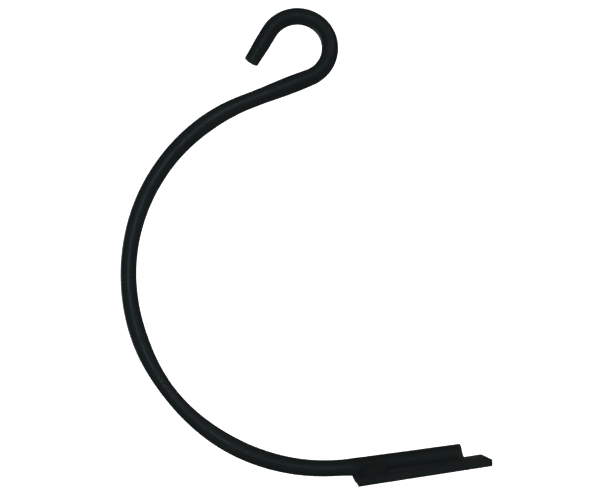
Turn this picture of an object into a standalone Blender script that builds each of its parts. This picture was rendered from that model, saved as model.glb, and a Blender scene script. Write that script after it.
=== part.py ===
"""Bent-rod razor stand: one round bar bent into a C with an eye at its top, welded to a small foot plate.

Metres, +Z up. The origin is the centre of the foot plate's underside. +X runs along the plate, from the
bar's bend towards its free end, and the bar lies in one plane parallel to XZ.
"""

from math import cos, pi, radians, sin, tan

import bmesh
import bpy
from mathutils import Vector

COLLECTION = "razor_stand"
CUTTERS = "razor_stand_cutters"

# Gap left between two pieces that touch.
GAP = 0.0003

# Foot plate: flat bar, cut to length.
PLATE_LENGTH = 0.0508
PLATE_WIDTH = 0.024
PLATE_THICKNESS = 0.0025
PLATE_EDGE = 0.0004

# Round bar, and where its straight foot run lies along the plate's middle. Its cut end rests on the plate,
# and the run rises a little towards the bend.
ROD_RADIUS = 0.00315
ROD_END_X = 0.0161
ROD_Y = 0.0
ROD_Z = PLATE_THICKNESS + GAP + ROD_RADIUS
FOOT_TILT = radians(1.25)
ROD_CHAMFER = 0.0004
ROD_SIDES_RESOLUTION = 9

# The bar's route from its end on the plate to its tip, as a bender makes it: straight runs, and bends given
# by the radius of the centre line and the angle. A positive angle turns left, seen from the front.
FOOT_RUN = 0.0428
LOWER_BEND = (0.0753, radians(-93.5))
UPPER_BEND = (0.0717, radians(-72.25))
ARM_RUN = 0.0265
EYE_BEND = (0.0129, radians(218.0))
TIP_RUN = 0.0144

# Longest step along a wide bend, and the largest angle of one step on a tight one.
MAX_STEP = 0.0065
MAX_TURN = radians(9)

# Weld beads: one on each side of the bar, in the corner between the bar and the plate, and a small one
# across the plate's end, under the bar.
BEAD_X = -0.0180
BEAD_HALF_LENGTH = 0.0060
BEAD_LEG = 0.0045
BEAD_HEIGHT = 0.0040
BEAD_SEGMENTS = 24
BEAD_RINGS = 12
END_BEAD_X = -PLATE_LENGTH / 2
END_BEAD_REACH = 0.0020
END_BEAD_HALF_WIDTH = 0.0032
END_BEAD_HALF_HEIGHT = 0.0022
END_BEAD_Z = 0.0030

# The straight cutter that stands for the bar covers every bead.
CUTTER_START_X = -0.0060
CUTTER_END_X = -0.0300


def clear_scene():
    for obj in list(bpy.data.objects):
        bpy.data.objects.remove(obj, do_unlink=True)


def new_collection(name):
    collection = bpy.data.collections.new(name)
    bpy.context.scene.collection.children.link(collection)
    return collection


def make_material(name, color, roughness, metallic):
    material = bpy.data.materials.new(name)
    material.use_nodes = True
    shader = material.node_tree.nodes["Principled BSDF"]
    shader.inputs["Base Color"].default_value = (*color, 1.0)
    shader.inputs["Roughness"].default_value = roughness
    shader.inputs["Metallic"].default_value = metallic
    return material


def add_mesh_object(name, bm, collection, material=None, location=(0.0, 0.0, 0.0)):
    mesh = bpy.data.meshes.new(name)
    bm.to_mesh(mesh)
    bm.free()
    obj = bpy.data.objects.new(name, mesh)
    obj.location = location
    if material is not None:
        mesh.materials.append(material)
    collection.objects.link(obj)
    return obj


def shade_round(mesh, angle=35):
    mesh.shade_smooth()
    mesh.set_sharp_from_angle(angle=radians(angle))


def add_bevel(obj, width, segments, angle):
    bevel = obj.modifiers.new("eased_edges", "BEVEL")
    bevel.width = width
    bevel.segments = segments
    bevel.limit_method = "ANGLE"
    bevel.angle_limit = radians(angle)
    return bevel


def bend_points(start, heading, radius, angle):
    """Points along one bend, without its start, and the heading that it ends on."""
    side = 1 if angle > 0 else -1
    steps_by_length = abs(angle) * radius / MAX_STEP
    steps_by_turn = abs(angle) / MAX_TURN
    steps = max(2, round(max(steps_by_length, steps_by_turn)))
    centre = start + side * radius * Vector((-sin(heading), cos(heading)))
    points = []
    for step in range(1, steps + 1):
        turned = heading + angle * step / steps
        points.append(centre - side * radius * Vector((-sin(turned), cos(turned))))
    return points, heading + angle


def rod_route():
    """The bar's centre line as (x, z) points, from its end on the plate to its tip."""
    heading = pi - FOOT_TILT
    points = [Vector((ROD_END_X, ROD_Z))]
    for step in (FOOT_RUN, LOWER_BEND, UPPER_BEND, ARM_RUN, EYE_BEND, TIP_RUN):
        if isinstance(step, tuple):
            bend, heading = bend_points(points[-1], heading, *step)
            points.extend(bend)
        else:
            points.append(points[-1] + step * Vector((cos(heading), sin(heading))))
    return points


def curve_to_mesh(obj, name, collection):
    """Replace a curve object by a mesh object whose end caps are welded to its tube."""
    depsgraph = bpy.context.evaluated_depsgraph_get()
    mesh = bpy.data.meshes.new_from_object(obj.evaluated_get(depsgraph))
    bm = bmesh.new()
    bm.from_mesh(mesh)
    bmesh.ops.remove_doubles(bm, verts=bm.verts, dist=0.00001)
    bmesh.ops.recalc_face_normals(bm, faces=bm.faces)
    bm.to_mesh(mesh)
    bm.free()
    solid = bpy.data.objects.new(name, mesh)
    solid.matrix_world = obj.matrix_world
    collection.objects.link(solid)
    bpy.data.objects.remove(obj, do_unlink=True)
    return solid


def make_rod(collection, material):
    curve = bpy.data.curves.new("hook_rod_curve", "CURVE")
    curve.dimensions = "3D"
    curve.bevel_depth = ROD_RADIUS
    curve.bevel_resolution = ROD_SIDES_RESOLUTION
    curve.use_fill_caps = True
    spline = curve.splines.new("POLY")
    route = rod_route()
    spline.points.add(len(route) - 1)
    for point, (x, z) in zip(spline.points, route):
        point.co = (x, ROD_Y, z, 1.0)
    guide = bpy.data.objects.new("hook_rod_curve", curve)
    collection.objects.link(guide)
    rod = curve_to_mesh(guide, "hook_rod", collection)
    rod.data.materials.clear()
    rod.data.materials.append(material)
    add_bevel(rod, ROD_CHAMFER, 2, 60)
    shade_round(rod.data)
    return rod


def make_plate(collection, material):
    bm = bmesh.new()
    bmesh.ops.create_cube(bm, size=1.0)
    bmesh.ops.scale(bm, vec=(PLATE_LENGTH, PLATE_WIDTH, PLATE_THICKNESS), verts=bm.verts)
    plate = add_mesh_object("foot_plate", bm, collection, material, (0.0, 0.0, PLATE_THICKNESS / 2))
    add_bevel(plate, PLATE_EDGE, 2, 60)
    return plate


def make_rod_cutter(collection):
    """The bar's foot run with its gap, to cut the beads with."""
    bm = bmesh.new()
    bmesh.ops.create_cone(bm, cap_ends=True, segments=32, radius1=ROD_RADIUS + GAP,
                          radius2=ROD_RADIUS + GAP, depth=CUTTER_START_X - CUTTER_END_X)
    middle = (CUTTER_START_X + CUTTER_END_X) / 2
    rise = (ROD_END_X - middle) * tan(FOOT_TILT)
    cutter = add_mesh_object("bar_cutter", bm, collection, None, (middle, ROD_Y, ROD_Z + rise))
    cutter.rotation_euler = (0.0, FOOT_TILT - pi / 2, 0.0)
    return cutter


def make_box_cutter(name, collection, low, high):
    bm = bmesh.new()
    bmesh.ops.create_cube(bm, size=1.0)
    size = [b - a for a, b in zip(low, high)]
    bmesh.ops.scale(bm, vec=size, verts=bm.verts)
    middle = [(a + b) / 2 for a, b in zip(low, high)]
    return add_mesh_object(name, bm, collection, None, middle)


def cut(obj, cutter):
    boolean = obj.modifiers.new("cut_" + cutter.name, "BOOLEAN")
    boolean.operation = "DIFFERENCE"
    boolean.solver = "EXACT"
    boolean.object = cutter


def make_egg(name, collection, material, half_sizes, place):
    bm = bmesh.new()
    bmesh.ops.create_uvsphere(bm, u_segments=BEAD_SEGMENTS, v_segments=BEAD_RINGS, radius=1.0)
    bmesh.ops.scale(bm, vec=half_sizes, verts=bm.verts)
    egg = add_mesh_object(name, bm, collection, material, place)
    shade_round(egg.data)
    return egg


def make_side_bead(name, side, collection, cutters, material):
    """A bead beside the bar: an egg in the corner, cut back by the plate and near the bar's middle plane."""
    place = (BEAD_X, ROD_Y + side * ROD_RADIUS / 4, PLATE_THICKNESS + GAP)
    bead = make_egg(name, collection, material, (BEAD_HALF_LENGTH, BEAD_LEG, BEAD_HEIGHT), place)
    reach = 2 * BEAD_HALF_LENGTH
    under = make_box_cutter(name + "_plate_cutter", cutters,
                            (BEAD_X - reach, ROD_Y - reach, PLATE_THICKNESS - reach),
                            (BEAD_X + reach, ROD_Y + reach, PLATE_THICKNESS + GAP))
    edges = sorted((ROD_Y + side * ROD_RADIUS / 2, ROD_Y - side * reach))
    behind = make_box_cutter(name + "_side_cutter", cutters,
                             (BEAD_X - reach, edges[0], PLATE_THICKNESS - reach),
                             (BEAD_X + reach, edges[1], ROD_Z + reach))
    for cutter in (under, behind):
        cut(bead, cutter)
    return bead


def make_end_bead(name, collection, cutters, material):
    """The bead across the plate's end: an egg under the bar, cut back by the plate."""
    half_sizes = (END_BEAD_REACH, END_BEAD_HALF_WIDTH, END_BEAD_HALF_HEIGHT)
    bead = make_egg(name, collection, material, half_sizes, (END_BEAD_X, ROD_Y, END_BEAD_Z))
    reach = 2 * END_BEAD_HALF_WIDTH
    plate_side = make_box_cutter(name + "_plate_cutter", cutters,
                                 (END_BEAD_X - GAP, ROD_Y - reach, END_BEAD_Z - reach),
                                 (END_BEAD_X + reach, ROD_Y + reach, END_BEAD_Z + reach))
    cut(bead, plate_side)
    return bead


def main():
    clear_scene()
    parts = new_collection(COLLECTION)
    cutters = new_collection(CUTTERS)

    rod_paint = make_material("rod_black", (0.012, 0.0135, 0.014), 0.42, 0.0)
    plate_paint = make_material("plate_black", (0.013, 0.0145, 0.015), 0.46, 0.0)
    weld_paint = make_material("weld_black", (0.012, 0.0135, 0.014), 0.52, 0.0)

    make_rod(parts, rod_paint)
    make_plate(parts, plate_paint)
    bar_cutter = make_rod_cutter(cutters)
    beads = [
        make_side_bead("weld_bead_front", -1, parts, cutters, weld_paint),
        make_side_bead("weld_bead_rear", 1, parts, cutters, weld_paint),
        make_end_bead("weld_bead_end", parts, cutters, weld_paint),
    ]
    for bead in beads:
        cut(bead, bar_cutter)

    for cutter in cutters.objects:
        cutter.hide_render = True
        cutter.display_type = "WIRE"


main()
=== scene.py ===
"""Looks of the bent-bar razor stand: a black coated round bar, a foot plate and three weld beads.

Metres, in the CAD model's frame: +Z up, +X along the foot plate, the origin under the plate's middle.
"""
from math import ceil, cos, pi, radians, sin, sqrt, tan

import bmesh
import bpy
import numpy as np
from mathutils import Matrix, Vector, noise


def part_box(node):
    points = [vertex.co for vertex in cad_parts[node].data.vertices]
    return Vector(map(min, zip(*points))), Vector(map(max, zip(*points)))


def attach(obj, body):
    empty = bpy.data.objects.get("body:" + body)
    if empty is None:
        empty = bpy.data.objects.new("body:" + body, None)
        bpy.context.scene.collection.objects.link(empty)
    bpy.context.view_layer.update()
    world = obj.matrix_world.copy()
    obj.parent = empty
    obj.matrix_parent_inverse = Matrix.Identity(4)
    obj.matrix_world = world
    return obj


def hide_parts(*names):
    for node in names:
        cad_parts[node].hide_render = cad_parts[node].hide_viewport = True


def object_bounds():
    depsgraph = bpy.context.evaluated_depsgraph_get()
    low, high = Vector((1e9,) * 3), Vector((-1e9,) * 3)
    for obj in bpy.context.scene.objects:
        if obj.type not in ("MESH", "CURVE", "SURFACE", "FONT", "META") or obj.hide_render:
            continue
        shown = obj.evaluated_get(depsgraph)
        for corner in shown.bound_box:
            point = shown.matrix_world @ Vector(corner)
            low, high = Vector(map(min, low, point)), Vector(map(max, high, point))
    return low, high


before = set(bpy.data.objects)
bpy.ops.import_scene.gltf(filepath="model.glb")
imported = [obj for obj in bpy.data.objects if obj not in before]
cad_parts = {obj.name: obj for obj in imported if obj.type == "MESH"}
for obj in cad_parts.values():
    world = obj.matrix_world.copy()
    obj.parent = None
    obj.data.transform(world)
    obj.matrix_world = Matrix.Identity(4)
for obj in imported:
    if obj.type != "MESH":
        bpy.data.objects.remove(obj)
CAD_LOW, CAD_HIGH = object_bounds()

MM = 0.001
TINY = 1e-9

# Sizes read from the CAD model.
PLATE_LOW, PLATE_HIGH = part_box("foot_plate")
ROD_LOW, ROD_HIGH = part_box("hook_rod")
BEAD_LOW, BEAD_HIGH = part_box("weld_bead_front")
PLATE_TOP = PLATE_HIGH.z
PLATE_END_X = PLATE_LOW.x
ROD_RADIUS = (ROD_HIGH.y - ROD_LOW.y) / 2
ROD_Y = (ROD_HIGH.y + ROD_LOW.y) / 2
ROD_Z = PLATE_TOP + ROD_RADIUS
ROD_END_X = ROD_HIGH.x
BEAD_X = (BEAD_LOW.x + BEAD_HIGH.x) / 2
BEAD_HALF_LENGTH = (BEAD_HIGH.x - BEAD_LOW.x) / 2

# The bar's route, as in the CAD model: straight runs, and bends as (radius, angle), left positive.
FOOT_TILT = radians(1.25)
ROUTE = (
    0.0428,
    (0.0753, radians(-93.5)),
    (0.0717, radians(-72.25)),
    0.0265,
    (0.0129, radians(218.0)),
    0.0144,
)
RING_STEP = 0.7 * MM
RING_POINTS = 48

# The bar's thickness, as (share of its length, share of the nominal radius): thinned where it was drawn
# round low on the C and before the eye, and a little fuller between.
THICKNESS = (
    (0.0, 1.0), (0.05, 0.975), (0.13, 0.97), (0.25, 1.04), (0.345, 0.86),
    (0.42, 1.02), (0.50, 0.98), (0.61, 1.045), (0.69, 1.095), (0.75, 1.0),
    (0.795, 1.115), (0.83, 1.045), (0.92, 1.05), (0.97, 1.03), (1.0, 0.94),
)

# Both ends have eased edges. The end on the plate is flared at its foot, where coating has gathered.
FOOT_END_EASE = 0.45 * MM
FOOT_END_DOME = 0.04 * MM
FLARE = 1.2 * MM
FLARE_REACH = 5 * MM
FLARE_POWER = 1.6
TIP_EASE = 0.4 * MM
TIP_DOME = 0.18 * MM
CAP_RINGS = 7
EASE_RINGS = 6
END_MARGIN = 0.3 * MM

# The coating's unevenness on the bar, as (height, wavelength).
COAT_WAVE = (0.022 * MM, 6 * MM)
COAT_RIPPLE = (0.006 * MM, 1.6 * MM)

# Weld metal that has run along the bar's underside, past the plate's end.
RUN_OUT = 0.6 * MM
RUN_OUT_REACH = 8 * MM

# Wear at the bar's ends: a rubbed edge on both, painted paler also as a painted highlight where the eased
# edge catches light, and a collar of bare patches behind the end on the plate.
EDGE_WEAR_AND_HIGHLIGHT = 0.6
EDGE_WEAR_AND_HIGHLIGHT_WIDTH = 0.3 * MM
EDGE_WEAR_AND_HIGHLIGHT_PLACE = 0.6
COLLAR_WEAR = 0.7
COLLAR_FADE = (1.0 * MM, 2.4 * MM)

# Where the stain of the weld's heat fades on the bar, in half lengths of the bead from its middle.
HEAT_FADE = (0.9, 1.5)

# The foot plate's edges, as the rounding along x, y and z: the top edges are eased more than the bottom
# ones. Its long sides are slightly crowned, and the shear has left both ends leaning out at the top.
ROUNDING_TOP = np.array((0.15, 0.6, 0.6)) * MM
ROUNDING_BOTTOM = np.array((0.15, 0.25, 0.25)) * MM
CROWN = 0.12 * MM
SHEAR_LEFT = 0.4 * MM
SHEAR_RIGHT = 0.45 * MM
SHEAR_ZONE = 1 * MM
PLATE_GRID = (100, 44, 4)
CORNER_STEPS = 4

# The plate's unevenness: waves on its faces, and upright marks of the shear on its ends.
FACE_WAVE = 0.02 * MM
FACE_WAVELENGTH = 7 * MM
CUT_MARK = 0.03 * MM
CUT_WAVELENGTH = 0.7 * MM
CUT_STRETCH = np.array((0.2, 1.0, 0.15))
PLATE_WEAR = 0.8

# The painted sheen on the plate's top, behind the bar's cut end: a paler patch painted in for a grazing
# reflection. Where its outline fades, across and along the plate, and how ragged it is.
PATCH_FADE_Y = (-2 * MM, 4 * MM)
PATCH_FADE_X = (ROD_END_X - 9 * MM, ROD_END_X + 1 * MM)
PATCH_RAGGED = 2.5 * MM
PATCH_RAGGED_X = 1.5
PATCH_RAGGED_WAVELENGTH = 5 * MM
PATCH_MOTTLE = 0.2
PATCH_MOTTLE_WAVELENGTH = 2 * MM

# The beads beside the bar: how far they spread on the plate, and how far they climb round the bar.
SIDE_BEAD_STATIONS = 100
SIDE_BEAD_ACROSS = 26
SIDE_BEAD_LEG = 5.4 * MM
SIDE_BEAD_CLIMB = radians(100)
SIDE_BEAD_TAPER = 2.6
SIDE_BEAD_END_SIZE = 0.03
SIDE_BEAD_BULGE = 0.25 * MM
SIDE_BEAD_RIPPLE = 0.05 * MM
SIDE_BEAD_PITCH = 1.5 * MM
SIDE_BEAD_CRESCENT = 2.2 * MM
SIDE_BEAD_WEAR = 0.2

# Slow waves along a side bead, as (share, rate): two in its size, one in its edge on the plate and one in
# its edge on the bar.
SIDE_BEAD_WAVES = ((0.03, 3.1), (0.02, 9.3), (0.03, 11), (0.03, 10))

# The bead across the plate's end: how far it reaches down the end, and out along the bar.
END_BEAD_STATIONS = 40
END_BEAD_ACROSS = 16
END_BEAD_HALF_WIDTH = 3.6 * MM
END_BEAD_DROP = 2.3 * MM
END_BEAD_RUN = 1.05 * MM
END_BEAD_BURY = 0.5 * MM
END_BEAD_TOP = PLATE_TOP + 1.6 * MM
END_BEAD_END_SIZE = 0.04
END_BEAD_BULGE = 0.12 * MM
END_BEAD_RIPPLE = 0.07 * MM
END_BEAD_PITCH = 1.2 * MM
END_BEAD_CRESCENT = 0.5 * MM
END_BEAD_WEAR = 0.3

# The coating's patterns: how wide their features are, and how high the bumps stand.
CLOUD_SIZE = 14 * MM
SMUDGE_SIZE = 5 * MM
PEEL_SIZE = 1.1 * MM
CHIP_SIZE = 0.8 * MM
SPECKLE_SIZE = 0.35 * MM
PEEL_HEIGHT = 0.012 * MM
SPECKLE_HEIGHT = 0.004 * MM
SPECKLE_IN_TONE = 0.35

# What changes the coating's roughness.
SMUDGE_ROUGHNESS = (-0.05, 0.06)
SPECKLE_ROUGHNESS = (-0.03, 0.03)
RUB_POLISH = 0.08
STAIN_ROUGHNESS = 0.30

# The camera.
CAMERA_PLACE = Vector((-41.54, -403.86, 47.02)) * MM
CAMERA_YAW = radians(1.239)
CAMERA_PITCH = radians(6.207)
CAMERA_ROLL = radians(-8.680)
CAMERA_LENS = 63.0
CAMERA_SENSOR = 36.0

# The lights: a dim world, an even fill from four sides, a bank of narrow lamps, a lamp and a card.
WORLD_COLOR = (0.95, 0.98, 1.0)
AMBIENT = 0.02
FILL = 1.95
FILL_DIRECTIONS = ((1, -1, 1), (-1, 1, 1), (-1, -1, -1), (1, 1, -1))

BANK_LAMPS = 4
BANK_X = -0.030
BANK_Y = -0.49
BANK_LOWEST = 0.045
BANK_WIDTH = 0.05
BANK_LAMP_HEIGHT = 0.085
BANK_POWER = 0.0021
BANK_SPREAD = radians(34)
BANK_COLOR = (0.56, 0.74, 1.0)

# A lamp at height z is mirrored on the C's back at height (z + MIRROR_SHIFT) / MIRROR_SCALE.
MIRROR_SHIFT = 0.057
MIRROR_SCALE = 2.21
MIRROR_DEPTH = 0.006

LAMP_OFFSET = Vector((0.30, -0.28, 0.200))
LAMP_SIZE = 0.14
LAMP_POWER = 0.05
LAMP_COLOR = (1.0, 0.98, 0.80)

BACK_OFFSET = Vector((-0.42, 0.36, 0.05))
BACK_WIDTH = 0.15
BACK_HEIGHT = 0.34
BACK_POWER = 0.35
BACK_COLOR = (0.80, 0.90, 1.0)

ROOM_RADIUS = 4.0
ROOM_HEIGHT = 6.0
ROOM_SIDES = 64
FLOOR_GAP = 0.0002
PAPER = 0.8


def smooth_step(low, high, value):
    t = np.clip((value - low) / (high - low), 0.0, 1.0)
    return t * t * (3 - 2 * t)


def noise_at(points, wavelength, seed, octaves=3):
    """Smooth noise in -1..1 at each point, with features about one wavelength wide."""
    shift = Vector((17.3 * seed, 5.1 * seed, -9.7 * seed))
    return np.array([
        noise.fractal(Vector(p) / wavelength + shift, 1.0, 2.0, octaves, noise_basis="PERLIN_ORIGINAL")
        for p in points
    ])


# ---------------------------------------------------------------- materials

def noise_node(tree, coordinates, wavelength, detail, rough, distortion=0.0):
    node = tree.nodes.new("ShaderNodeTexNoise")
    node.inputs["Scale"].default_value = 1 / wavelength
    node.inputs["Detail"].default_value = detail
    node.inputs["Roughness"].default_value = rough
    node.inputs["Distortion"].default_value = distortion
    tree.links.new(coordinates, node.inputs["Vector"])
    return node.outputs["Fac"]


def map_range(tree, value, source, target=(0.0, 1.0)):
    node = tree.nodes.new("ShaderNodeMapRange")
    node.inputs["From Min"].default_value = source[0]
    node.inputs["From Max"].default_value = source[1]
    node.inputs["To Min"].default_value = target[0]
    node.inputs["To Max"].default_value = target[1]
    tree.links.new(value, node.inputs["Value"])
    return node.outputs["Result"]


def math_node(tree, operation, first, second):
    node = tree.nodes.new("ShaderNodeMath")
    node.operation = operation
    for socket, value in zip(node.inputs, (first, second)):
        if isinstance(value, (int, float)):
            socket.default_value = value
        else:
            tree.links.new(value, socket)
    return node.outputs["Value"]


def mix_colors(tree, factor, first, second):
    node = tree.nodes.new("ShaderNodeMix")
    node.data_type = "RGBA"
    tree.links.new(factor, node.inputs["Factor"])
    for socket, color in ((node.inputs["A"], first), (node.inputs["B"], second)):
        if isinstance(color, tuple):
            socket.default_value = (*color, 1.0)
        else:
            tree.links.new(color, socket)
    return node.outputs["Result"]


def bump_node(tree, height, distance, normal=None):
    node = tree.nodes.new("ShaderNodeBump")
    node.inputs["Strength"].default_value = 1.0
    node.inputs["Distance"].default_value = distance
    tree.links.new(height, node.inputs["Height"])
    if normal is not None:
        tree.links.new(normal, node.inputs["Normal"])
    return node.outputs["Normal"]


def attribute_node(tree, name):
    node = tree.nodes.new("ShaderNodeAttribute")
    node.attribute_name = name
    return node.outputs["Fac"]


def coated_steel(name, base, light, worn_and_highlight, stained_and_sheen, roughness, grain=1.0):
    """Satin black coating: cloudy tone, speckled grain, orange peel, and paler rubbed edges (on the bar's
    end edges partly a painted highlight).

    The mesh's wear attribute says where edges and high spots are, with a painted highlight on the bar's
    end edges, and its stain attribute where the coating lies dull over weld heat and, on the plate's top,
    where a painted sheen is laid."""
    material = bpy.data.materials.new(name)
    material.use_nodes = True
    tree = material.node_tree
    shader = tree.nodes["Principled BSDF"]
    place = tree.nodes.new("ShaderNodeTexCoord").outputs["Object"]
    wear_and_highlight = attribute_node(tree, "wear_and_highlight")
    stain_and_sheen = attribute_node(tree, "stain_and_sheen")

    clouds = noise_node(tree, place, CLOUD_SIZE, 4.0, 0.55, 0.4)
    speckle = noise_node(tree, place, SPECKLE_SIZE * grain, 2.0, 0.6)
    peel = noise_node(tree, place, PEEL_SIZE * grain, 2.0, 0.45)
    smudges = noise_node(tree, place, SMUDGE_SIZE, 3.0, 0.6, 1.2)
    chips = noise_node(tree, place, CHIP_SIZE, 4.0, 0.65)

    tone = math_node(tree, "ADD", clouds, math_node(tree, "MULTIPLY", speckle, SPECKLE_IN_TONE))
    coat = mix_colors(tree, map_range(tree, tone, (0.45, 0.95)), base, light)
    # The stain mix: a real dull stain on the bar and the beads, and a painted sheen on the plate's top.
    stain_and_sheen_blotch = math_node(tree, "MULTIPLY", stain_and_sheen, map_range(tree, smudges, (0.25, 0.55), (0.5, 1.0)))
    coat = mix_colors(tree, stain_and_sheen_blotch, coat, stained_and_sheen)
    # Rubbed spots are painted in the worn colour; on the bar's end edges this is also a painted
    # highlight.
    rub_and_highlight = math_node(tree, "MULTIPLY", wear_and_highlight, map_range(tree, chips, (0.42, 0.62)))
    tree.links.new(mix_colors(tree, rub_and_highlight, coat, worn_and_highlight), shader.inputs["Base Color"])

    smudged = [roughness + change for change in SMUDGE_ROUGHNESS]
    rough = map_range(tree, smudges, (0.3, 0.7), smudged)
    rough = math_node(tree, "ADD", rough, map_range(tree, speckle, (0.3, 0.7), SPECKLE_ROUGHNESS))
    rough = math_node(tree, "SUBTRACT", rough, math_node(tree, "MULTIPLY", rub_and_highlight, RUB_POLISH))
    rough = math_node(tree, "ADD", rough, math_node(tree, "MULTIPLY", stain_and_sheen, STAIN_ROUGHNESS))
    tree.links.new(rough, shader.inputs["Roughness"])

    normal = bump_node(tree, peel, PEEL_HEIGHT * grain)
    normal = bump_node(tree, speckle, SPECKLE_HEIGHT * grain, normal)
    tree.links.new(normal, shader.inputs["Normal"])
    shader.inputs["Specular IOR Level"].default_value = 0.5
    return material


# ---------------------------------------------------------------- meshes

def make_object(name, vertices, faces, material, wear_and_highlight, stain_and_sheen, sharp_angle):
    mesh = bpy.data.meshes.new(name)
    mesh.from_pydata([tuple(v) for v in vertices], [], faces)
    for layer, values in (("wear_and_highlight", wear_and_highlight), ("stain_and_sheen", stain_and_sheen)):
        attribute = mesh.attributes.new(layer, "FLOAT", "POINT")
        attribute.data.foreach_set("value", np.asarray(values, dtype=np.float32))
    bm = bmesh.new()
    bm.from_mesh(mesh)
    bmesh.ops.recalc_face_normals(bm, faces=bm.faces)
    bm.to_mesh(mesh)
    bm.free()
    mesh.shade_smooth()
    mesh.set_sharp_from_angle(angle=radians(sharp_angle))
    mesh.materials.append(material)
    obj = bpy.data.objects.new(name, mesh)
    bpy.context.scene.collection.objects.link(obj)
    return obj


def tube_faces(rings, ring_points):
    """Quads that join each ring of points to the next."""
    faces = []
    for a in range(0, (rings - 1) * ring_points, ring_points):
        b = a + ring_points
        for j in range(ring_points):
            k = (j + 1) % ring_points
            faces.append((a + j, a + k, b + k, b + j))
    return faces


# ---------------------------------------------------------------- bar

def rod_stations():
    """Distance, x, z and heading of each step along the bar's centre, from the plate end to the tip."""
    rows = [(0.0, ROD_END_X, ROD_Z, pi - FOOT_TILT)]
    for run in ROUTE:
        start, x0, z0, h0 = rows[-1]
        radius, angle = run if isinstance(run, tuple) else (None, None)
        length = run if radius is None else radius * abs(angle)
        steps = ceil(length / RING_STEP)
        for step in range(1, steps + 1):
            part = step / steps
            if radius is None:
                rows.append((start + length * part, x0 + length * part * cos(h0),
                             z0 + length * part * sin(h0), h0))
            else:
                side = 1 if angle > 0 else -1
                turned = h0 + angle * part
                rows.append((start + length * part,
                             x0 + side * radius * (sin(turned) - sin(h0)),
                             z0 - side * radius * (cos(turned) - cos(h0)), turned))
    return np.array(rows)


def end_rings(ease, radius, dome):
    """(setback, radius) pairs that close one end, from the middle of its face out to the full bar."""
    flat = radius - ease
    pairs = []
    for ring in range(1, CAP_RINGS + 1):
        r = flat * ring / CAP_RINGS
        pairs.append((dome * (r / flat) ** 2, r))
    for ring in range(1, EASE_RINGS + 1):
        angle = pi / 2 * ring / EASE_RINGS
        pairs.append((dome + ease * (1 - cos(angle)), flat + ease * sin(angle)))
    return pairs


def thickness_at(share):
    """The bar's thickness factor at a share of its length, eased between the listed ones."""
    for (start, low), (end, high) in zip(THICKNESS, THICKNESS[1:]):
        if share <= end:
            return low + (high - low) * smooth_step(start, end, share)
    return THICKNESS[-1][1]


def rod_rings(stations):
    """Each ring's distance along the bar and radius, and how deep the eased ends reach."""
    total = stations[-1, 0]
    foot_end = end_rings(FOOT_END_EASE, ROD_RADIUS * THICKNESS[0][1], FOOT_END_DOME)
    tip_end = end_rings(TIP_EASE, ROD_RADIUS * THICKNESS[-1][1], TIP_DOME)
    foot_depth, tip_depth = foot_end[-1][0], tip_end[-1][0]
    after_foot = stations[:, 0] > foot_depth + END_MARGIN
    before_tip = stations[:, 0] < total - tip_depth - END_MARGIN
    middle = stations[after_foot & before_tip, 0]
    rings = list(foot_end)
    rings += [(s, ROD_RADIUS * thickness_at(s / total)) for s in middle]
    rings += [(total - setback, r) for setback, r in reversed(tip_end)]
    distance, radius = np.array(rings).T
    return distance, radius, foot_depth, tip_depth


def rod_surface(stations, distance, ring_radius):
    """Each ring's centre, and the points round it. The end on the plate is flared at its foot."""
    x, z, heading = [np.interp(distance, stations[:, 0], stations[:, i]) for i in (1, 2, 3)]
    turns = np.linspace(0, 2 * pi, RING_POINTS, endpoint=False)

    # Across the bar: "out" lies in the bend's plane, "side" towards the viewer.
    out_x, out_z = -np.sin(heading), np.cos(heading)
    around_out = np.cos(turns)[None, :] * ring_radius[:, None]
    around_side = np.sin(turns)[None, :] * ring_radius[:, None]
    low_side = np.clip(around_out / ROD_RADIUS, 0, 1) ** FLARE_POWER
    slide = -FLARE * low_side * (1 - smooth_step(0.0, FLARE_REACH, distance))[:, None]
    points = np.stack([
        x[:, None] + around_out * out_x[:, None] + slide * np.cos(heading)[:, None],
        ROD_Y - around_side,
        z[:, None] + around_out * out_z[:, None] + slide * np.sin(heading)[:, None],
    ], axis=-1)
    centres = np.stack([x, np.full_like(x, ROD_Y), z], axis=-1)
    return centres, points.reshape(-1, 3)


def on_foot_run(points):
    """Whether each point of the bar is near the plate, and not up on the arm."""
    return points[:, 2] < PLATE_TOP + 4 * ROD_RADIUS


def add_coating(points, centres):
    """Uneven coating, and the weld's run-out under the bar where it leaves the plate."""
    outward = points - np.repeat(centres, RING_POINTS, axis=0)
    lengths = np.linalg.norm(outward, axis=1)
    outward = outward / np.maximum(lengths, TINY)[:, None]
    swell = COAT_WAVE[0] * noise_at(points, COAT_WAVE[1], 1)
    swell += COAT_RIPPLE[0] * noise_at(points, COAT_RIPPLE[1], 2, 2)
    under = np.clip(-outward[:, 2], 0, 1) ** 1.5
    reach = 1 - np.clip((PLATE_END_X - points[:, 0]) / RUN_OUT_REACH, 0, 1)
    before_plate = 1 - smooth_step(PLATE_END_X, -BEAD_HALF_LENGTH, points[:, 0])
    swell += RUN_OUT * under * reach ** 2 * before_plate * on_foot_run(points)
    full = np.clip(lengths / ROD_RADIUS, 0, 1)
    return points + outward * (swell * full)[:, None]


def rod_wear_and_highlight(distance, total, foot_depth, tip_depth):
    foot_edge = foot_depth * EDGE_WEAR_AND_HIGHLIGHT_PLACE
    tip_edge = total - tip_depth * EDGE_WEAR_AND_HIGHLIGHT_PLACE
    near_end = np.minimum(np.abs(distance - foot_edge), np.abs(tip_edge - distance))
    # The band on each end's eased edge is rubbed wear and also a painted highlight where that edge
    # catches light.
    edge = EDGE_WEAR_AND_HIGHLIGHT * np.exp(-(near_end / EDGE_WEAR_AND_HIGHLIGHT_WIDTH) ** 2)
    collar = COLLAR_WEAR * (1 - smooth_step(*COLLAR_FADE, distance))
    return np.repeat(np.maximum(edge, collar), RING_POINTS)


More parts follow.
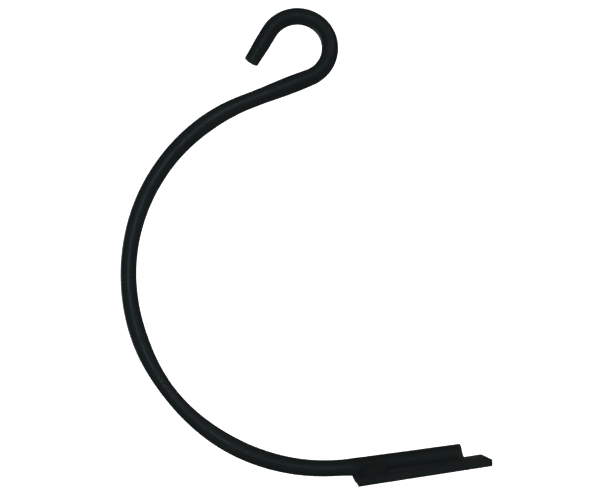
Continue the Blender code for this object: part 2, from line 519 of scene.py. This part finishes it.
def build_rod(material):
    stations = rod_stations()
    distance, ring_radius, foot_depth, tip_depth = rod_rings(stations)
    centres, points = rod_surface(stations, distance, ring_radius)
    points = add_coating(points, centres)

    rings = len(distance)
    faces = tube_faces(rings, RING_POINTS)
    foot_centre = len(points)
    tip_centre = foot_centre + 1
    vertices = [*points, centres[0], centres[-1]]
    last_ring = (rings - 1) * RING_POINTS
    for j in range(RING_POINTS):
        k = (j + 1) % RING_POINTS
        faces.append((foot_centre, k, j))
        faces.append((tip_centre, last_ring + j, last_ring + k))

    wear_and_highlight = rod_wear_and_highlight(distance, stations[-1, 0], foot_depth, tip_depth)
    from_bead = np.abs(points[:, 0] - BEAD_X) / BEAD_HALF_LENGTH
    stain_and_sheen = (1 - smooth_step(*HEAT_FADE, from_bead)) * on_foot_run(points)
    centre_values = [0.0, 0.0]
    wear_and_highlight = np.append(wear_and_highlight, centre_values)
    stain_and_sheen = np.append(stain_and_sheen, centre_values)
    return make_object("bar_coated", vertices, faces, material, wear_and_highlight, stain_and_sheen, 40)


# ---------------------------------------------------------------- plate

def graded(low, high, rounding, steps):
    """Grid lines from low to high: fine within the rounding at both ends, even between."""
    corner = rounding * np.tan(np.linspace(-pi / 4, 0, CORNER_STEPS + 1))
    start = low + rounding + corner
    end = high - rounding - corner[::-1]
    return np.concatenate([start[:-1], np.linspace(low + rounding, high - rounding, steps + 1), end[1:]])


def box_grid(lines):
    """Points and quads of a box's surface, with grid lines at the given places along x, y and z."""
    index = {}
    vertices, faces = [], []

    def vertex(i, j, k):
        if (i, j, k) not in index:
            index[(i, j, k)] = len(vertices)
            vertices.append((lines[0][i], lines[1][j], lines[2][k]))
        return index[(i, j, k)]

    counts = [len(line) - 1 for line in lines]
    for axis in range(3):
        u, v = [a for a in range(3) if a != axis]
        for end in (0, counts[axis]):
            for i in range(counts[u]):
                for j in range(counts[v]):
                    corners = []
                    for du, dv in ((0, 0), (1, 0), (1, 1), (0, 1)):
                        key = [0, 0, 0]
                        key[axis], key[u], key[v] = end, i + du, j + dv
                        corners.append(vertex(*key))
                    faces.append(corners if end else corners[::-1])
    return np.array(vertices), faces


def round_plate(grid, low, high):
    """The grid's points on the plate with its edges rounded and its sides crowned, and their normals."""
    half_height = (high[2] - low[2]) / 2
    level = (grid[:, 2] - low[2]) / half_height - 1
    rounding = np.where((level > 0)[:, None], ROUNDING_TOP, ROUNDING_BOTTOM)
    inner = np.clip(grid, low + rounding, high - rounding)
    away = (grid - inner) / rounding
    length = np.linalg.norm(away, axis=1)
    normal = away / np.maximum(length, TINY)[:, None]
    points = inner + normal * rounding
    on_side = np.abs(normal[:, 1])
    points[:, 1] -= np.sign(normal[:, 1]) * on_side * CROWN * level ** 2
    return points, normal


def shear_plate(points, normal, low, high):
    """The points with uneven faces and sheared ends, which lean out towards the top."""
    face_wave = FACE_WAVE * noise_at(points, FACE_WAVELENGTH, 3) - FACE_WAVE
    cut_marks = CUT_MARK * noise_at(points * CUT_STRETCH, CUT_WAVELENGTH, 4) - CUT_MARK
    on_end = np.abs(normal[:, 0])
    points = points + normal * (face_wave * (1 - on_end) + cut_marks * on_end)[:, None]
    lift = 1 - (points[:, 2] - low[2]) / (high[2] - low[2])
    points[:, 0] += SHEAR_LEFT * lift * (points[:, 0] < low[0] + SHEAR_ZONE)
    points[:, 0] -= SHEAR_RIGHT * lift * (points[:, 0] > high[0] - SHEAR_ZONE)
    points[:, 2] = np.maximum(points[:, 2], PLATE_LOW.z)
    return points


def painted_sheen_patch(points):
    """A painted sheen: a paler patch with a ragged outline painted on the plate's top, behind the bar's
    cut end, for a grazing reflection.
    """
    ragged = PATCH_RAGGED * noise_at(points, PATCH_RAGGED_WAVELENGTH, 5)
    stain_and_sheen = smooth_step(*PATCH_FADE_Y, points[:, 1] + ragged)
    stain_and_sheen *= smooth_step(*PATCH_FADE_X, points[:, 0] + PATCH_RAGGED_X * ragged)
    stain_and_sheen *= 1 - PATCH_MOTTLE + PATCH_MOTTLE * noise_at(points, PATCH_MOTTLE_WAVELENGTH, 6, 2)
    return stain_and_sheen * smooth_step(PLATE_LOW.z, PLATE_HIGH.z, points[:, 2])


def build_plate(material):
    """The foot plate: a rounded box on a fine grid, with a slightly uneven face and sheared ends."""
    low, high = np.array(PLATE_LOW), np.array(PLATE_HIGH)
    grid, faces = box_grid([graded(low[i], high[i], ROUNDING_TOP[i], PLATE_GRID[i]) for i in range(3)])
    points, normal = round_plate(grid, low, high)
    points = shear_plate(points, normal, low, high)
    edges = np.sort(np.abs(normal), axis=1)[:, 1]
    wear_and_highlight = np.clip(edges * PLATE_WEAR, 0, 1)
    # The plate's stain values are the painted sheen on its top.
    return make_object("plate_coated", points, faces, material, wear_and_highlight, painted_sheen_patch(points), 60)


# ---------------------------------------------------------------- weld beads

def section_points(start, end, bend_out, bulge):
    """Points from start to end of a bead's section, each moved outward by its bulge."""
    chord = end - start
    outward = bend_out * np.array([chord[1], -chord[0]]) / max(np.linalg.norm(chord), TINY)
    count = len(bulge) - 1
    return [start + chord * (j / count) + outward * rise for j, rise in enumerate(bulge)]


def close_bead(name, sections, wear_and_highlight, material):
    """Join a bead's sections, close both ends and make the object."""
    ring = len(sections[0])
    faces = tube_faces(len(sections), ring)
    last = (len(sections) - 1) * ring
    faces.append(tuple(range(ring)))
    faces.append(tuple(range(last, last + ring))[::-1])
    vertices = [point for section in sections for point in section]
    stain_and_sheen = np.ones(len(vertices))
    return make_object(name, vertices, faces, material, wear_and_highlight, stain_and_sheen, 50)


def build_bead(name, side, seed, material):
    """A weld bead: shallow rippled crescents between a toe on the plate and a toe on the bar."""
    rod_centre_z = ROD_Z + (ROD_END_X - BEAD_X) * tan(FOOT_TILT)
    phases = np.random.default_rng(seed).uniform(-3, 3, 5)
    sections, wear_and_highlight = [], []
    for i in range(SIDE_BEAD_STATIONS + 1):
        u = -1 + 2 * i / SIDE_BEAD_STATIONS
        x = BEAD_X + u * BEAD_HALF_LENGTH
        waves = [share * sin(rate * u + phase) for (share, rate), phase in zip(SIDE_BEAD_WAVES, phases)]
        taper = sqrt(max(0.0, 1 - abs(u) ** SIDE_BEAD_TAPER))
        size = taper * (1 - SIDE_BEAD_END_SIZE) + SIDE_BEAD_END_SIZE
        size *= 1 + waves[0] + waves[1]
        toe_y = SIDE_BEAD_LEG * size * (1 + waves[2])
        toe_turn = SIDE_BEAD_CLIMB * size * (1 + waves[3])

        bulge = []
        for j in range(SIDE_BEAD_ACROSS + 1):
            v = j / SIDE_BEAD_ACROSS
            hump = 4 * v * (1 - v)
            crescent = x + SIDE_BEAD_CRESCENT * (v - 0.5) ** 2
            ripple = abs(sin(pi * crescent / SIDE_BEAD_PITCH + phases[4]))
            rise = SIDE_BEAD_BULGE * size * hump
            bulge.append(rise + SIDE_BEAD_RIPPLE * (ripple - 0.6) * sqrt(hump) * size)
            wear_and_highlight.append(SIDE_BEAD_WEAR * ripple * hump)
        start = np.array([toe_y, PLATE_TOP])
        end = np.array([sin(toe_turn), -cos(toe_turn)]) * ROD_RADIUS + np.array([0.0, rod_centre_z])
        section = section_points(start, end, 1, bulge)

        # The hidden part, inside the bar and the plate.
        section += [
            (ROD_RADIUS * 0.8 * sin(toe_turn), rod_centre_z - ROD_RADIUS * 0.8 * cos(toe_turn)),
            (ROD_RADIUS * 0.5 * sin(toe_turn * 0.5), rod_centre_z - ROD_RADIUS * 0.8),
            (0.12 * MM, PLATE_TOP - 0.3 * MM),
            (toe_y * 0.9, PLATE_TOP - 0.4 * MM),
        ]
        wear_and_highlight += [0.0] * 4
        sections.append([(x, ROD_Y + side * y, z) for y, z in section])
    return close_bead(name, sections, wear_and_highlight, material)


def build_end_bead(material):
    """The bead across the plate's end: a fillet from the end face up to the bar's underside."""
    face_x = PLATE_END_X + SHEAR_LEFT / 2
    inside_x = face_x + END_BEAD_BURY
    rod_centre_z = ROD_Z + (ROD_END_X - face_x) * tan(FOOT_TILT)
    sections, wear_and_highlight = [], []
    for i in range(END_BEAD_STATIONS + 1):
        u = -1 + 2 * i / END_BEAD_STATIONS
        y = u * END_BEAD_HALF_WIDTH
        size = sqrt(max(0.0, 1 - u * u)) * (1 - END_BEAD_END_SIZE) + END_BEAD_END_SIZE
        under = rod_centre_z - sqrt(ROD_RADIUS ** 2 - min(abs(y), 0.96 * ROD_RADIUS) ** 2)
        start = np.array([face_x, PLATE_TOP - END_BEAD_DROP * size])
        end = np.array([face_x - END_BEAD_RUN * size, min(under, END_BEAD_TOP)])

        bulge = []
        for j in range(END_BEAD_ACROSS + 1):
            v = j / END_BEAD_ACROSS
            hump = 4 * v * (1 - v)
            ripple = abs(sin(pi * (y + END_BEAD_CRESCENT * hump) / END_BEAD_PITCH))
            bulge.append((END_BEAD_BULGE + END_BEAD_RIPPLE * (ripple - 0.5)) * hump * size)
            wear_and_highlight.append(END_BEAD_WEAR * ripple * hump)
        section = section_points(start, end, -1, bulge)

        # The hidden part, inside the bar and the plate.
        inside_z = end[1] + END_BEAD_BURY
        section += [(end[0] + END_BEAD_BURY, inside_z), (inside_x, inside_z), (inside_x, start[1])]
        wear_and_highlight += [0.0] * 3
        sections.append([(x, ROD_Y + y, z) for x, z in section])
    return close_bead("weld_end", sections, wear_and_highlight, material)


# ---------------------------------------------------------------- studio

def build_camera():
    camera = bpy.data.cameras.new("camera")
    camera.lens = CAMERA_LENS
    camera.sensor_width = CAMERA_SENSOR
    camera.clip_start = 0.01
    ahead = Vector((sin(CAMERA_YAW) * cos(CAMERA_PITCH), cos(CAMERA_YAW) * cos(CAMERA_PITCH),
                    sin(CAMERA_PITCH)))
    level = Vector((cos(CAMERA_YAW), -sin(CAMERA_YAW), 0.0))
    above = level.cross(ahead)
    right = cos(CAMERA_ROLL) * level + sin(CAMERA_ROLL) * above
    up = cos(CAMERA_ROLL) * above - sin(CAMERA_ROLL) * level
    obj = bpy.data.objects.new("camera", camera)
    obj.matrix_world = Matrix((
        (right.x, up.x, -ahead.x, CAMERA_PLACE.x),
        (right.y, up.y, -ahead.y, CAMERA_PLACE.y),
        (right.z, up.z, -ahead.z, CAMERA_PLACE.z),
        (0, 0, 0, 1),
    ))
    bpy.context.scene.collection.objects.link(obj)
    bpy.context.scene.camera = obj


def build_world():
    world = bpy.data.worlds.new("studio")
    world.use_nodes = True
    background = world.node_tree.nodes["Background"]
    background.inputs["Color"].default_value = (*WORLD_COLOR, 1.0)
    background.inputs["Strength"].default_value = AMBIENT
    bpy.context.scene.world = world


def build_fill():
    """White walls all round: an even, shadowless fill from four sides."""
    for number, direction in enumerate(FILL_DIRECTIONS):
        light = bpy.data.lights.new(f"fill_{number}", "SUN")
        light.energy = FILL
        light.use_shadow = False
        obj = bpy.data.objects.new(light.name, light)
        obj.rotation_euler = (-Vector(direction)).to_track_quat("-Z", "Y").to_euler()
        obj.visible_glossy = False
        bpy.context.scene.collection.objects.link(obj)


def add_area_light(name, place, target, width, height, power, color):
    light = bpy.data.lights.new(name, "AREA")
    light.shape = "RECTANGLE"
    light.size = width
    light.size_y = height
    light.energy = power
    light.color = color
    obj = bpy.data.objects.new(name, light)
    obj.location = place
    obj.rotation_euler = (target - place).to_track_quat("-Z", "Y").to_euler()
    bpy.context.scene.collection.objects.link(obj)
    return light


def build_bank():
    """A tall bank of narrow lamps beside the camera, which draws the bright line along the bar.

    Each lamp is aimed at its own height on the C's back, so the line fades towards the foot."""
    for number in range(BANK_LAMPS):
        z = BANK_LOWEST + BANK_LAMP_HEIGHT * number
        place = Vector((BANK_X, BANK_Y, z))
        aim = Vector((CAD_LOW.x + MIRROR_DEPTH, 0.0, (z + MIRROR_SHIFT) / MIRROR_SCALE))
        light = add_area_light(f"bank_{number}", place, aim, BANK_WIDTH, BANK_LAMP_HEIGHT,
                               BANK_POWER, BANK_COLOR)
        light.spread = BANK_SPREAD


def white_paper():
    material = bpy.data.materials.new("white_paper")
    material.use_nodes = True
    shader = material.node_tree.nodes["Principled BSDF"]
    shader.inputs["Base Color"].default_value = (PAPER, PAPER, PAPER, 1.0)
    shader.inputs["Roughness"].default_value = 1.0
    shader.inputs["Emission Color"].default_value = (1.0, 1.0, 1.0, 1.0)
    shader.inputs["Emission Strength"].default_value = 1.0
    return material


def build_room():
    """A white floor and, round it, a white room, both seen by the camera only."""
    bm = bmesh.new()
    bmesh.ops.create_cone(bm, cap_ends=True, segments=ROOM_SIDES, radius1=ROOM_RADIUS,
                          radius2=ROOM_RADIUS, depth=ROOM_HEIGHT)
    mesh = bpy.data.meshes.new("white_room")
    bm.to_mesh(mesh)
    bm.free()
    mesh.materials.append(white_paper())
    room = bpy.data.objects.new("white_room", mesh)
    room.location = (0.0, 0.0, ROOM_HEIGHT / 2 + PLATE_LOW.z - FLOOR_GAP)
    bpy.context.scene.collection.objects.link(room)
    for ray in ("visible_diffuse", "visible_glossy", "visible_transmission", "visible_shadow"):
        setattr(room, ray, False)


def build_studio():
    bpy.context.scene.view_settings.view_transform = "Standard"
    build_world()
    build_fill()
    build_bank()

    # A small lamp high on the right adds a faint second line inside the C, and a card behind and to the
    # left shapes the sides and the back.
    middle = (CAD_LOW + CAD_HIGH) / 2
    add_area_light("lamp", middle + LAMP_OFFSET, middle, LAMP_SIZE, LAMP_SIZE, LAMP_POWER, LAMP_COLOR)
    add_area_light("back", middle + BACK_OFFSET, middle, BACK_WIDTH, BACK_HEIGHT, BACK_POWER, BACK_COLOR)
    build_room()


def main():
    build_camera()
    bar_black = coated_steel(
        "bar_black",
        base=(0.0095, 0.0130, 0.0130),
        light=(0.0135, 0.0178, 0.0176),
        # Rubbed spots, and the painted highlight on the bar's end edges.
        worn_and_highlight=(0.032, 0.036, 0.032),
        stained_and_sheen=(0.0100, 0.0128, 0.0124),
        roughness=0.37,
    )
    plate_black = coated_steel(
        "plate_black",
        base=(0.0095, 0.0128, 0.0130),
        light=(0.0130, 0.0172, 0.0172),
        worn_and_highlight=(0.026, 0.031, 0.032),
        # The paler olive of the painted sheen on the plate's top.
        stained_and_sheen=(0.0235, 0.0255, 0.0210),
        roughness=0.52,
    )
    weld_black = coated_steel(
        "weld_black",
        base=(0.0090, 0.0120, 0.0118),
        light=(0.0125, 0.0160, 0.0156),
        worn_and_highlight=(0.020, 0.024, 0.024),
        stained_and_sheen=(0.0095, 0.0123, 0.0120),
        roughness=0.45,
        grain=0.8,
    )
    pieces = (
        (build_rod(bar_black), "hook_rod", "rod_black"),
        (build_plate(plate_black), "foot_plate", "plate_black"),
        (build_bead("weld_front", -1, 11, weld_black), "weld_bead_front", "weld_black"),
        (build_bead("weld_rear", 1, 29, weld_black), "weld_bead_rear", "weld_black"),
        (build_end_bead(weld_black), "weld_bead_end", "weld_black"),
    )
    for piece, node, slot in pieces:
        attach(piece, "root")
        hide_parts(node)
    build_studio()


main()
